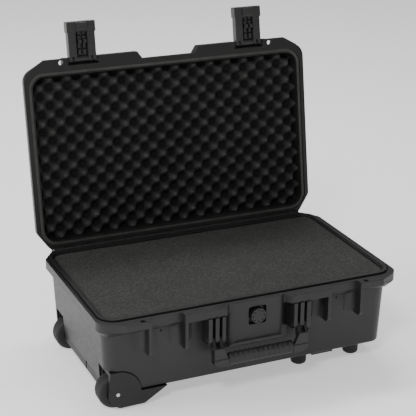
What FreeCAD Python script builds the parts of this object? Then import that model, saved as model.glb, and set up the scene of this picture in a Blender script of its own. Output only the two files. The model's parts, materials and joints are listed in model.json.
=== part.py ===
"""Wheeled hard equipment case with foam, standing open.

The case is drawn closed and unshifted: X runs along its length, Y from the front (latches) to the
back (hinge), Z up from the ground, with X = Y = 0 in the middle of the cavity. Each sub-part is
then placed in the frame of its own body: the lid's pieces turn open about the hinge, and the whole
open case moves so that the middle of its footprint is the origin.
"""
import FreeCAD, Part
import Sketcher
import math
import os
import re
from FreeCAD import Placement, Rotation, Vector

DIMENSIONS = {
    # the case as a whole
    "case_length": 551, "rim_width": 330, "rim_top": 166, "floor_gap": 30, "seam": 0.3,
    "lid_open_angle": 99,
    # the two tubs and the cavity
    "tub_length": 527.7, "tub_width": 304, "tub_corner": 26, "tub_draft": 6, "tub_top": 150,
    "tub_edge_radius": 3, "cavity_length": 520.7, "cavity_width": 297, "cavity_corner": 22,
    "cavity_floor": 34, "cavity_top": 172, "lid_root": 175, "lid_top": 220, "lid_ceiling": 216.5,
    "lid_edge_radius": 13,
    # rim flanges
    "rim_underside": 139, "rim_bevel": 11, "rim_corner": 25, "rim_back_corner": 14,
    "rim_back_flat": 251, "rim_side_end": 130, "lid_rim_top": 184, "lid_rim_bevel": 7,
    # tongue, groove and gasket
    "tongue_height": 2.3, "tongue_in": 1.6, "tongue_out": 7.2, "groove_out": 10.3,
    "groove_depth": 2.5, "seat_in": 1.2, "seat_out": 7.6, "seat_depth": 5.2, "gasket_size": 2.6,
    # front shelves, ribs and hasps
    "front_face": 178, "shelf_start": 51, "shelf_bevel": 9, "shelf_drop": 14.5, "hasp_drop": 12,
    "bay_middle": 163, "bay_half": 28.5, "rib": 6, "rib_bottom": 103, "rib_nose": 9,
    "cove": 16, "cove_bottom": 106, "hasp_end": 236, "hasp_tail": 262, "padlock_x": 205,
    "padlock_y": 171, "padlock_radius": 4.4, "hasp_plate": 6, "hasp_block": 9,
    "catch_height": 148, "catch_floor": 159.5, "catch_half": 10, "web": 3.2, "web_drop": 5.7,
    "drain_offset": -4, "drain_z": 134, "drain": 3,
    # handle brackets and handle
    "bracket_in": 63, "bracket_out": 94, "bracket_face": 180, "bracket_bottom": 102,
    "bracket_middle": 78.2, "slot_in": 3.5, "slot_out": 8.8, "slot_back": 160, "fork_floor": 101,
    "handle_pin": 2.5, "handle_pin_y": -173, "handle_pin_z": 110, "handle_half": 86.6,
    "handle_front": 189, "handle_back": 175, "handle_bottom": 64, "handle_top": 85,
    "handle_corner": 12, "grip_half": 59.5, "grip_skin": 3, "grip_proud": 1, "grip_dip": 7,
    "gusset_top": 98, "stop_radius": 3.2, "stop_reach": 3, "stop_y": -181, "stop_z": 99,
    # pressure valve
    "valve_z": 138, "valve_face": 173, "panel_face": 168, "panel_bottom": 81, "panel_round": 17,
    "panel_flat": 46, "panel_half": 63.5, "panel_side": 154, "panel_bend": 20, "pocket_floor": 160,
    "pocket_half": 16, "cap_radius": 13.5, "cap_wall": 2, "cap_holes": 8, "hole_circle": 10.2,
    "hole_radius": 1.1, "body_radius": 11.5, "stem_radius": 6, "seal_height": 1.6,
    # hinge
    "hinge_y": 166.5, "hinge_z": 162.8, "knuckle": 6, "knuckle_relief": 6.5, "knuckle_gap": 1,
    "hinge_pin": 2, "hinge_shelf": 155.5, "hinge_back": 171.5, "hinge_half": 249,
    # latches
    "latch_pin": 2, "latch_pin_y": -174, "latch_pin_z": 175.3, "latch_hub": 5.5,
    "latch_half": 25, "latch_length": 67, "latch_head": 19, "latch_outside": 6, "latch_inside": 8,
    "latch_skin": 4.5, "cheek": 14.3, "head_grow": 1.5, "lug": 2.5, "ladder_in": 2.4,
    "ladder_out": 7, "rung": 9, "rung_gap": 3, "hook_near": 28.3, "hook_far": 35,
    "hook_reach": 13.5, "window_in": 15.5, "window_out": 20, "button_half": 10,
    "button_proud": 3, "button_travel": 3,
    # foam
    "foam_gap": 0.6, "foam_top": 165.6, "foam_middle": 105, "foam_low": 44, "lid_foam_face": 172,
    # wheels and their housings
    "wheel_x": -242, "wheel_radius": 29.5, "wheel_half": 13.9, "front_wheel_y": -126.3,
    "back_wheel_y": 105, "hub_radius": 19, "axle_radius": 3.2, "bush_radius": 6.5,
    "arch_radius": 41, "arch_gap": 1, "pocket_radius": 33.5, "wheel_side_gap": 0.4,
    "outer_plate": 8.7, "far_plate": 3.7, "inner_plate": 5, "housing_left": -259.5,
    "housing_tail": -155, "skid_left": -257.5, "skid_inner": -231, "skid_bottom": 9, "skid_slope": 9,
    "skid_top": 40, "skid_seam": 1.2, "skid_end": 12, "skid_gap_front": -36.5,
    "skid_gap_back": -30.5, "well_wall": 3.5,
    # feet and runners
    "foot_x": 110, "foot_far_x": 215, "foot_y": 112, "foot_radius": 14, "foot_crown": 3,
    "screw_radius": 2, "screw_head": 4, "screw_bite": 3.2,
    # telescopic pull handle
    "tube_y": 60, "tube_z": 20, "tube_wide": 20, "tube_high": 15, "tube_wall": 1.5,
    "tube_play": 0.2, "tube_start": -190, "tube_end": 205, "tube_step": 10, "guide_length": 12,
    "bracket_length": 16, "bracket_half": 75, "pull_socket": 222, "pull_bar": 244, "pull_end": 265,
    "pull_half": 72, "pull_low": 10, "pull_high": 29, "pull_button_half": 14,
}

# knuckle ends on one half of the hinge line; the base and the lid take turns, the lid first
KNUCKLE_ENDS = (16, 65, 92, 112, 132, 152, 171, 190, 207, 226, 249)

LATCH_SIDES = {"left": -1, "right": 1}
AXIS_TURNS = {"x": Rotation(Vector(0, 1, 0), 90), "y": Rotation(Vector(1, 0, 0), -90), "z": Rotation()}

doc = FreeCAD.newDocument("equipment_case")
sheet = doc.addObject("Spreadsheet::Sheet", "Dims")
for row, (alias, number) in enumerate(DIMENSIONS.items(), 1):
    sheet.set(f"A{row}", alias)
    sheet.set(f"B{row}", str(number))
    sheet.setAlias(f"B{row}", alias)
doc.recompute()


def formula(text):
    """An expression in which each dimension's name points at its cell."""
    return re.sub(r"[a-z][a-z_]*", lambda word: f"Dims.{word[0]}" if word[0] in DIMENSIONS else word[0], text)


def bind(item, **properties):
    for name, text in properties.items():
        item.setExpression(name.replace("__", "."), formula(text))
    return item


# ---------------------------------------------------------------- shapes bound to the sheet

def box(name, along_x, along_y, along_z):
    """A block between two formulas along each axis."""
    block = doc.addObject("Part::Box", name)
    spans = zip(("Length", "Width", "Height"), "xyz", (along_x, along_y, along_z))
    for size_name, axis, (low, high) in spans:
        block.setExpression(size_name, formula(f"({high}) - ({low})"))
        block.setExpression(f"Placement.Base.{axis}", formula(low))
    return block


def rod(name, axis, radius, span, middle):
    """A cylinder along an axis, between the two formulas of span, centred on the other two axes."""
    cylinder = doc.addObject("Part::Cylinder", name)
    cylinder.Placement = Placement(Vector(), AXIS_TURNS[axis])
    low, high = span
    bind(cylinder, Radius=radius, Height=f"({high}) - ({low})")
    places = dict(zip([other for other in "xyz" if other != axis], middle))
    places[axis] = low
    for each, text in places.items():
        cylinder.setExpression(f"Placement.Base.{each}", formula(text))
    return cylinder


def combine(kind, name, items):
    joined = doc.addObject(f"Part::{kind}", name)
    joined.Shapes = items
    return joined


def fuse(name, *items):
    return combine("MultiFuse", name, list(items)) if len(items) > 1 else items[0]


def common(name, *items):
    return combine("MultiCommon", name, list(items))


def cut(name, base, *tools):
    result = doc.addObject("Part::Cut", name)
    result.Base = base
    result.Tool = fuse(f"{name}_tools", *tools)
    return result


def mirrored(name, item):
    """The same piece on the other side of the case's middle plane."""
    twin = doc.addObject("Part::Mirroring", name)
    twin.Source = item
    twin.Normal = Vector(1, 0, 0)
    return twin


def both_sides(name, item):
    return fuse(name, item, mirrored(f"{name}_mirror", item))


def new_body(name):
    body = doc.addObject("PartDesign::Body", name)
    return body, {plane.Role: plane for plane in body.Origin.OriginFeatures}


def attach(body, planes, plane, name, offset):
    sketch = body.newObject("Sketcher::SketchObject", name)
    sketch.AttachmentSupport = [(planes[f"{plane}_Plane"], "")]
    sketch.MapMode = "FlatFace"
    sketch.setExpression("AttachmentOffset.Base.z", formula(offset))
    return sketch


def pin_point(sketch, element, end, name, place):
    """Holds a point of the sketch at a pair of formulas."""
    point = sketch.getPoint(element, end)
    for axis, start, text in zip("XY", (point.x, point.y), place):
        held = sketch.addConstraint(Sketcher.Constraint(f"Distance{axis}", -1, 1, element, end, start))
        sketch.renameConstraint(held, f"{name}{axis}")
        sketch.setExpression(f"Constraints.{name}{axis}", formula(text))


def polygon(sketch, outline):
    """A closed run of lines whose corners sit at pairs of formulas."""
    count = len(outline)
    corners = [Vector(math.cos(math.tau * turn / count), math.sin(math.tau * turn / count), 0)
               for turn in range(count)]
    for turn in range(count):
        sketch.addGeometry(Part.LineSegment(corners[turn], corners[(turn + 1) % count]))
    for turn in range(count):
        sketch.addConstraint(Sketcher.Constraint("Coincident", turn, 2, (turn + 1) % count, 1))
    for turn, place in enumerate(outline):
        pin_point(sketch, turn, 1, f"corner{turn}", place)


def rounded_rectangle(sketch, length, width, corner):
    """A centred rectangle with round corners: lines are elements 0 to 3, arcs 4 to 7.

    It is first drawn at the cavity's size, from where its constraints pull it to its own.
    """
    half_x, half_y, radius = f"({length}) / 2", f"({width}) / 2", f"({corner})"
    inner_x, inner_y = f"({half_x} - {radius})", f"({half_y} - {radius})"
    ends = [((inner_x, f"-({half_y})"), (f"-{inner_x}", f"-({half_y})")),
            ((f"-({half_x})", f"-{inner_y}"), (f"-({half_x})", inner_y)),
            ((f"-{inner_x}", half_y), (inner_x, half_y)),
            ((half_x, inner_y), (half_x, f"-{inner_y}"))]
    far_x, far_y = DIMENSIONS["cavity_length"] / 2, DIMENSIONS["cavity_width"] / 2
    bend = DIMENSIONS["cavity_corner"]
    mid_x, mid_y = far_x - bend, far_y - bend
    first_ends = [((mid_x, -far_y), (-mid_x, -far_y)), ((-far_x, -mid_y), (-far_x, mid_y)),
                  ((-mid_x, far_y), (mid_x, far_y)), ((far_x, mid_y), (far_x, -mid_y))]
    centres = [(-mid_x, -mid_y), (-mid_x, mid_y), (mid_x, mid_y), (mid_x, -mid_y)]
    for first, last in first_ends:
        sketch.addGeometry(Part.LineSegment(Vector(*first, 0), Vector(*last, 0)))
    for centre, start_turn in zip(centres, (2, 1, 0, 3)):
        circle = Part.Circle(Vector(*centre, 0), Vector(0, 0, 1), bend)
        begin = start_turn * math.pi / 2
        sketch.addGeometry(Part.ArcOfCircle(circle, begin, begin + math.pi / 2))
    for side in range(4):
        arc = 4 + side
        sketch.addConstraint(Sketcher.Constraint("Coincident", side, 2, arc, 2))
        sketch.addConstraint(Sketcher.Constraint("Coincident", arc, 1, (side + 1) % 4, 1))
        held = sketch.addConstraint(Sketcher.Constraint("Radius", arc, float(bend)))
        sketch.renameConstraint(held, f"radius{side}")
        sketch.setExpression(f"Constraints.radius{side}", formula(corner))
    for side, (first, last) in enumerate(ends):
        pin_point(sketch, side, 1, f"start{side}", first)
        pin_point(sketch, side, 2, f"end{side}", last)


def dress(body, base, kind, size_text, wanted):
    """Rounds or bevels the edges of the last feature that the test picks."""
    doc.recompute()
    edges = [f"Edge{number}" for number, edge in enumerate(base.Shape.Edges, 1) if wanted(edge)]
    dressed = body.newObject(f"PartDesign::{kind}", f"{body.Name}_{kind.lower()}")
    dressed.Base = (base, edges)
    dressed.setExpression("Radius" if kind == "Fillet" else "Size", formula(size_text))
    body.Tip = dressed
    return dressed


def middle_of(edge):
    return edge.valueAt((edge.FirstParameter + edge.LastParameter) / 2)


def runs_along(edge, axis):
    low, high = edge.Vertexes[0].Point, edge.Vertexes[-1].Point
    return edge.Curve.TypeId == "Part::GeomLine" and abs((high - low).normalize().dot(axis)) > 0.999


def near(first, second):
    return abs(first - second) < 0.01


def prism(name, plane, outline, span, rounds=()):
    """A pad of a polygon. Each entry of rounds is a corner radius and the corners that it rounds."""
    body, planes = new_body(name)
    low, high = span
    flipped = plane == "XZ"
    sketch = attach(body, planes, plane, f"{name}_sketch", f"-({high})" if flipped else low)
    polygon(sketch, outline)
    pad = body.newObject("PartDesign::Pad", f"{name}_pad")
    pad.Profile = sketch
    bind(pad, Length=f"({high}) - ({low})")
    body.Tip = pad
    feature = pad
    axes = {"XY": Vector(0, 0, 1), "XZ": Vector(0, 1, 0), "YZ": Vector(1, 0, 0)}
    if rounds:
        doc.recompute()
    places = [sketch.Placement.multVec(sketch.getPoint(turn, 1)) for turn in range(len(outline))]
    for radius, corners in rounds:
        picked = [places[corner] for corner in corners]
        feature = dress(body, feature, "Fillet", radius, lambda edge: runs_along(edge, axes[plane]) and any(
            near((middle_of(edge) - place).cross(axes[plane]).Length, 0) for place in picked))
    return body, feature


def tray(name, layers):
    """A ruled loft through centred rounded rectangles: length, width, corner and height of each."""
    body, planes = new_body(name)
    sketches = []
    for number, (length, width, corner, height) in enumerate(layers):
        sketch = attach(body, planes, "XY", f"{name}_section{number}", height)
        rounded_rectangle(sketch, length, width, corner)
        sketches.append(sketch)
    loft = body.newObject("PartDesign::AdditiveLoft", f"{name}_loft")
    loft.Profile = sketches[0]
    loft.Sections = sketches[1:]
    loft.Ruled = True
    body.Tip = loft
    return body, loft


def tub(name, low, high, mouth_up, edge_radius):
    """A tub's outside: its walls lean in from the mouth to the far end, whose edge is rounded."""
    body, planes = new_body(name)
    sketch = attach(body, planes, "XY", f"{name}_sketch", low)
    rounded_rectangle(sketch, "tub_length", "tub_width", "tub_corner")
    pad = body.newObject("PartDesign::Pad", f"{name}_pad")
    pad.Profile = sketch
    bind(pad, Length=f"{high} - {low}")
    doc.recompute()
    facing = {f"Face{number}": face.normalAt(0, 0).z for number, face in enumerate(pad.Shape.Faces, 1)}
    mouth = max(facing, key=facing.get) if mouth_up else min(facing, key=facing.get)
    lean = body.newObject("PartDesign::Draft", f"{name}_draft")
    lean.Base = (pad, [face for face, up in facing.items() if near(up, 0)])
    lean.NeutralPlane = (pad, [mouth])
    lean.Reversed = mouth_up
    bind(lean, Angle=f"atan(tub_draft / ({high} - {low}))")
    far_end = DIMENSIONS[low if mouth_up else high]
    dress(body, lean, "Fillet", edge_radius,
          lambda edge: all(near(vertex.Z, far_end) for vertex in edge.Vertexes))
    return body


def slab(name, grow, corner_grow, low, high):
    """A plate with the outline of the cavity's mouth, grown by a formula all round."""
    body, planes = new_body(name)
    sketch = attach(body, planes, "XY", f"{name}_sketch", low)
    rounded_rectangle(sketch, f"cavity_length + 2 * ({grow})", f"cavity_width + 2 * ({grow})",
                      f"cavity_corner + ({corner_grow})")
    pad = body.newObject("PartDesign::Pad", f"{name}_pad")
    pad.Profile = sketch
    bind(pad, Length=f"({high}) - ({low})")
    return body


def ring(name, inner, outer, low, high):
    """A band that runs round the cavity's mouth, between two distances from its edge."""
    return cut(name, slab(f"{name}_outer", outer, outer, low, high),
               slab(f"{name}_inner", inner, inner, f"{low} - 1", f"{high} + 1"))


def revolved(name, profile, middle, turn=Rotation()):
    """A solid of revolution about Y: the profile gives (distance along, radius) pairs."""
    body, planes = new_body(name)
    sketch = attach(body, planes, "YZ", f"{name}_sketch", "0")
    polygon(sketch, profile)
    spin = body.newObject("PartDesign::Revolution", f"{name}_spin")
    spin.Profile = sketch
    spin.ReferenceAxis = (sketch, ["H_Axis"])
    spin.Angle = 360
    body.Placement = Placement(Vector(), turn)
    for axis, text in zip("xyz", middle):
        body.setExpression(f"Placement.Base.{axis}", formula(text))
    return body


sub_parts = {}


def sub_part(label, frame, *pieces):
    """One named piece of the case, or one group of like pieces, in the frame of its body."""
    part = doc.addObject("Part::Compound", f"{label}_part")
    part.Links = list(pieces)
    part.Label = label
    sub_parts[label] = (part, frame)
    return part


# ---------------------------------------------------------------- forms that both tubs share

RIM_OUTLINE = [("case_length / 2", "-rim_width / 2"), ("case_length / 2", "rim_side_end"),
               ("rim_back_flat", "rim_width / 2"), ("-rim_back_flat", "rim_width / 2"),
               ("-case_length / 2", "rim_side_end"), ("-case_length / 2", "-rim_width / 2")]


def rim_flange(name, low, high, bevel, bevelled_height):
    """The flange round a tub's mouth, bevelled back to the wall along one face."""
    rounds = [("rim_corner", (0, 5)), ("rim_back_corner", (1, 2, 3, 4))]
    body, feature = prism(name, "XY", RIM_OUTLINE, (low, high), rounds)
    height = DIMENSIONS[bevelled_height]
    dress(body, feature, "Chamfer", bevel,
          lambda edge: all(near(vertex.Z, height) for vertex in edge.Vertexes))
    return body


def front_shelves(name, shelf_span, hasp_span):
    """The rim's two thick stretches either side of a latch, on the right-hand half."""
    inner = [("shelf_start", "-rim_width / 2 + 6"), ("shelf_start", "-rim_width / 2"),
             ("shelf_start + shelf_bevel", "-front_face"), ("bay_middle - bay_half", "-front_face"),
             ("bay_middle - bay_half", "-rim_width / 2 + 6")]
    hasp = [("bay_middle + bay_half", "-rim_width / 2 + 6"), ("bay_middle + bay_half", "-front_face"),
            ("hasp_end", "-front_face"), ("hasp_tail", "-rim_width / 2 + 2"),
            ("hasp_tail", "-rim_width / 2 + 6")]
    return [prism(f"{name}_shelf", "XY", inner, shelf_span)[0],
            prism(f"{name}_hasp", "XY", hasp, hasp_span)[0]]


def padlock_holes(name, low, high):
    hole = rod(name, "z", "padlock_radius", (low, high), ("padlock_x", "-padlock_y"))
    return both_sides(f"{name}_pair", hole)


def knuckle_spans():
    """The hinge line's stretches as (owner, low, high), from its left end to its right end."""
    half = [(("lid", "base")[number % 2], KNUCKLE_ENDS[number - 1], KNUCKLE_ENDS[number])
            for number in range(1, len(KNUCKLE_ENDS))]
    left = [(owner, -high, -low) for owner, low, high in reversed(half)]
    return left + [("lid", -KNUCKLE_ENDS[0], KNUCKLE_ENDS[0])] + half


def barrels(owner, root_y, root_z):
    """One tub's knuckles, each a barrel on a block that joins it to the rim."""
    made = []
    for number, (whose, low, high) in enumerate(knuckle_spans()):
        if whose == owner:
            span = (f"{low} + knuckle_gap / 2", f"{high} - knuckle_gap / 2")
            name = f"{owner}_knuckle{number}"
            made += [rod(f"{name}_barrel", "x", "knuckle", span, ("hinge_y", "hinge_z")),
                     box(f"{name}_root", span, root_y, root_z)]
    return made


def barrel_reliefs(owner):
    """Room in one tub's rim for the other tub's knuckles to turn in."""
    return [rod(f"{owner}_relief{number}", "x", "knuckle_relief",
                (f"{low} - knuckle_gap / 2", f"{high} + knuckle_gap / 2"), ("hinge_y", "hinge_z"))
            for number, (whose, low, high) in enumerate(knuckle_spans()) if whose != owner]


def hinge_bore(name, play):
    return rod(name, "x", f"hinge_pin + {play}", ("-case_length / 2", "case_length / 2"),
               ("hinge_y", "hinge_z"))


def wheel_arch(name, grow, along_y, radius="arch_radius", left="-case_length"):
    """A round arch over a wheel, open below it and to the left."""
    radius = f"{radius} + {grow}"
    return fuse(name,
                rod(f"{name}_round", "y", radius, along_y, ("wheel_x", "wheel_radius")),
                box(f"{name}_left", (left, "wheel_x"), along_y,
                    ("-floor_gap", f"wheel_radius + {radius}")),
                box(f"{name}_low", ("wheel_x", f"wheel_x + {radius}"), along_y,
                    ("-floor_gap", "wheel_radius")))


def cavity_size(height, gap="0"):
    """Length, width and corner of the base's cavity at a height, less a gap all round."""
    lean = f"(tub_draft * (cavity_top - ({height})) / (cavity_top - cavity_floor) + ({gap}))"
    return f"cavity_length - 2 * {lean}", f"cavity_width - 2 * {lean}", f"cavity_corner - {lean}", height


def lid_cavity_size(height, gap="0"):
    """The same for the lid's cavity."""
    lean = f"(tub_draft * (({height}) - rim_top) / (lid_ceiling - rim_top) + ({gap}))"
    return f"cavity_length - 2 * {lean}", f"cavity_width - 2 * {lean}", f"cavity_corner - {lean}", height


# the wells' outer faces along Y, front and back, and the blocks of the cavity that they take up
FRONT_WELL = ("-rim_width", "front_wheel_y + wheel_half + wheel_side_gap + inner_plate + arch_gap")
BACK_WELL = ("back_wheel_y - wheel_half - wheel_side_gap - inner_plate - arch_gap",
             "back_wheel_y + wheel_half + wheel_side_gap + far_plate + arch_gap")


def well_blocks(name, gap):
    """The steps that the wheel wells and the skid's notch make in the cavity's left end."""
    room = f"well_wall + {gap}"
    well_top = f"wheel_radius + arch_radius + arch_gap + {room}"
    well_right = f"wheel_x + arch_radius + arch_gap + {room}"
    depth = ("cavity_floor - 20", well_top)
    along_x = ("-case_length / 2", well_right)
    return [box(f"{name}_front", along_x, (FRONT_WELL[0], f"{FRONT_WELL[1]} + {room}"), depth),
            box(f"{name}_back", along_x,
                (f"{BACK_WELL[0]} - ({room})", f"{BACK_WELL[1]} + {room}"), depth),
            box(f"{name}_edge", ("-case_length / 2", f"skid_inner + arch_gap + {room}"),
                (FRONT_WELL[1], BACK_WELL[0]), ("cavity_floor - 20", f"skid_top + skid_seam + {room}"))]


# ---------------------------------------------------------------- base shell

def front_rib(name, low):
    """An upright fin beside a latch, with a round nose at its foot."""
    outline = [("-tub_width / 2 + 8", "rib_bottom"), ("-front_face", "rib_bottom"),
               ("-front_face", "rim_top"), ("-tub_width / 2 + 8", "rim_top")]
    return prism(name, "YZ", outline, (low, f"{low} + rib"), [("rib_nose", (1,))])[0]


def cove(name, corner, side):
    """A hollow sweep between the leaning wall and a rib, to the left (-1) or right (1) of the corner."""
    middle = f"{corner} + {side} * cove"
    block = box(f"{name}_block", (corner, middle) if side > 0 else (middle, corner),
                ("-tub_width / 2 - cove", "-tub_width / 2 + 8"), ("cove_bottom", "rim_top - 8"))
    lean = "tub_draft / 2 / (tub_top - floor_gap)"
    foot = "(cove_bottom - 1)"
    sweep = rod(f"{name}_round", "z", "cove", (foot, "rim_top"),
                (middle, f"{lean} * (tub_top - {foot}) - tub_width / 2 - cove"))
    sweep.Placement.Rotation = Rotation(Vector(1, 0, 0), 1)
    return cut(name, block, bind(sweep, Placement__Rotation__Angle=f"atan({lean})"))


def handle_bracket():
    """Three upright fins that the handle's forked arm turns between."""
    top = "rim_top - shelf_drop"
    face = [("-tub_width / 2 + 8", "bracket_bottom"), ("-bracket_face", "bracket_bottom"),
            ("-bracket_face", top), ("-tub_width / 2 + 8", top)]
    block = prism("bracket_block", "YZ", face, ("bracket_in", "bracket_out"), [("rib_nose", (1,))])[0]
    slots = [box(f"bracket_slot{side}", along_x, ("-rim_width", "-slot_back"), ("bracket_bottom - 9", top))
             for side, along_x in enumerate((("bracket_middle - slot_out", "bracket_middle - slot_in"),
                                             ("bracket_middle + slot_in", "bracket_middle + slot_out")))]
    return cut("bracket_fins", block, *slots)


def valve_panel():
    """A pillow between the brackets: it rounds back to the wall at its foot and at both its sides."""
    foot = [("-tub_width / 2 + 8", "rim_top"), ("-panel_face", "rim_top"),
            ("-panel_face", "panel_bottom"), ("-tub_width / 2 + 8", "panel_bottom")]
    plan = [("-panel_half", "-tub_width / 2 + 8"), ("-panel_half", "-panel_side"),
            ("-panel_flat", "-panel_face"), ("panel_flat", "-panel_face"),
            ("panel_half", "-panel_side"), ("panel_half", "-tub_width / 2 + 8")]
    return common("valve_panel",
                  prism("panel_upright", "YZ", foot, ("-panel_half", "panel_half"),
                        [("panel_round", (2,))])[0],
                  prism("panel_plan", "XY", plan, ("panel_bottom", "rim_top"),
                        [("panel_bend", (2, 3))])[0])


def make_base_shell():
    right = front_shelves("base", ("rim_top - shelf_drop", "rim_top"), ("rim_top - hasp_drop", "rim_top"))
    inner_rib, outer_rib = "bay_middle - bay_half - rib", "bay_middle + bay_half"
    right += [front_rib("inner_rib", inner_rib), front_rib("outer_rib", outer_rib),
              cove("cove_shelf", inner_rib, -1), cove("cove_bay_in", "bay_middle - bay_half", 1),
              cove("cove_bay_out", outer_rib, -1), cove("cove_hasp", f"{outer_rib} + rib", 1),
              handle_bracket()]
    right_side = fuse("front_right", *right)
    runners = [box(f"{end}_runner", ("foot_x + foot_radius + 1", "foot_x + 56"), along_y,
                   ("floor_gap - 9", "floor_gap + 2"))
               for end, along_y in (("front", ("-foot_y - 22", "-foot_y + 10")),
                                    ("back", ("foot_y - 10", "foot_y + 22")))]
    hinge_shelf = box("base_hinge_shelf", ("-hinge_half", "hinge_half"),
                      ("rim_width / 2 - 8", "hinge_back"), ("rim_underside + rim_bevel", "hinge_shelf"))
    tongue = ring("tongue", "tongue_in", "tongue_out", "rim_top - 2", "rim_top + tongue_height")
    solid = fuse("base_solid", tub("base_tub", "floor_gap", "tub_top", True, "tub_edge_radius"),
                 rim_flange("base_rim", "rim_underside", "rim_top", "rim_bevel", "rim_underside"),
                 both_sides("front_pair", right_side), valve_panel(), *runners, hinge_shelf,
                 tongue, *barrels("base", ("rim_width / 2 - 5", "hinge_back - 0.5"),
                                  ("hinge_shelf - 3", "hinge_z")))
    cavity = cut("base_cavity", tray("cavity", [cavity_size("cavity_floor"), cavity_size("cavity_top")])[0],
                 *well_blocks("well_block", "0"))
    catch = box("catch_notch", ("bay_middle - catch_half", "bay_middle + catch_half"),
                ("-rim_width / 2 - 1", "-catch_floor"), ("rim_underside - 2", "catch_height"))
    drains = [box(f"drain_{side}", (latch_x(sign, "drain_offset - drain / 2"),
                                    latch_x(sign, "drain_offset + drain / 2")),
                  ("-tub_width / 2 - 1", "-tub_width / 2 + drain"),
                  ("drain_z - drain / 2", "drain_z + drain / 2"))
              for side, sign in LATCH_SIDES.items()]
    pocket = prism("valve_pocket", "XZ", [("-pocket_half", "valve_z - pocket_half"),
                                          ("pocket_half", "valve_z - pocket_half"),
                                          ("pocket_half", "valve_z + pocket_half"),
                                          ("-pocket_half", "valve_z + pocket_half")],
                   ("-front_face", "-pocket_floor"), [("cap_wall * 2", (0, 1, 2, 3))])[0]
    pin_bore = rod("bracket_bore", "x", "handle_pin + 0.02", ("bracket_in - 1", "bracket_out + 1"),
                   ("handle_pin_y", "handle_pin_z"))
    return cut("base_shell_shape", solid, cavity,
               ring("base_groove", "tongue_out", "groove_out", "rim_top - groove_depth", "rim_top + 9"),
               both_sides("catch_notches", catch), *drains, pocket, both_sides("bracket_bores", pin_bore),
               rod("valve_bore", "y", "stem_radius + 0.02", ("-rim_width", "-cavity_width / 2 + 6"),
                   ("0", "valve_z")),
               padlock_holes("base_padlock", "rim_top - shelf_drop - 20", "rim_top + 5"),
               hinge_bore("base_hinge_bore", "0.02"), *barrel_reliefs("base"),
               wheel_arch("front_arch", "arch_gap", FRONT_WELL),
               wheel_arch("back_arch", "arch_gap", BACK_WELL),
               box("skid_notch", ("-case_length", "skid_inner + arch_gap"), (FRONT_WELL[1], BACK_WELL[0]),
                   ("0", "skid_top + skid_seam")),
               *screw_bores())


# ---------------------------------------------------------------- lid shell

def make_lid_shell():
    top_ribs = [prism(f"lid_rib{number}", "YZ",
                      [(f"{middle} - 26", "lid_top - 2"), (f"{middle} - 20", "lid_top + 6"),
                       (f"{middle} + 20", "lid_top + 6"), (f"{middle} + 26", "lid_top - 2")],
                      ("-case_length / 2 + 55", "case_length / 2 - 55"))[0]
                for number, middle in enumerate(("-70", "70"))]
    low, high = "rim_top + seam", "lid_rim_top - 1"
    right = front_shelves("lid", (low, high), (low, f"{low} + hasp_plate"))
    right += [box("lid_hasp_block", ("bay_middle + bay_half", "bay_middle + bay_half + hasp_block"),
                  ("-front_face", "-rim_width / 2 + 6"), (low, high)),
              box("lid_web", ("bay_middle - bay_half - 1", "bay_middle + bay_half + 1"),
                  ("-rim_width / 2 - web", "-tub_width / 2"), ("lid_rim_top - web_drop", "lid_rim_top"))]
    solid = fuse("lid_solid", tub("lid_tub", "lid_root", "lid_top", False, "lid_edge_radius"),
                 rim_flange("lid_rim", low, "lid_rim_top", "lid_rim_bevel", "lid_rim_top"),
                 both_sides("lid_shelves", fuse("lid_right", *right)), *top_ribs,
                 *barrels("lid", ("hinge_y - 3.5", "hinge_back"),
                          ("hinge_z + 0.7", "lid_rim_top - lid_rim_bevel")))
    cavity = tray("lid_cavity", [lid_cavity_size("rim_top"), lid_cavity_size("lid_ceiling")])[0]
    pin_bore = rod("latch_pin_bore", "x", "latch_pin + 0.02",
                   ("bay_middle - bay_half - 8", "bay_middle + bay_half + 8"), ("latch_pin_y", "latch_pin_z"))
    return cut("lid_shell_shape", solid, cavity,
               ring("lid_seat", "seat_in", "seat_out", "rim_top - 1", f"{low} + seat_depth"),
               both_sides("latch_pin_bores", pin_bore),
               padlock_holes("lid_padlock", "rim_top - 5", "lid_rim_top + 5"),
               hinge_bore("lid_hinge_bore", "0.06"), *barrel_reliefs("lid"))


# ---------------------------------------------------------------- latches

def latch_x(side, offset):
    """A formula for a place across a latch, counted from the latch's middle."""
    return f"{side} * bay_middle + ({offset})"


def across(side, half):
    return latch_x(side, f"-({half})"), latch_x(side, half)


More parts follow.
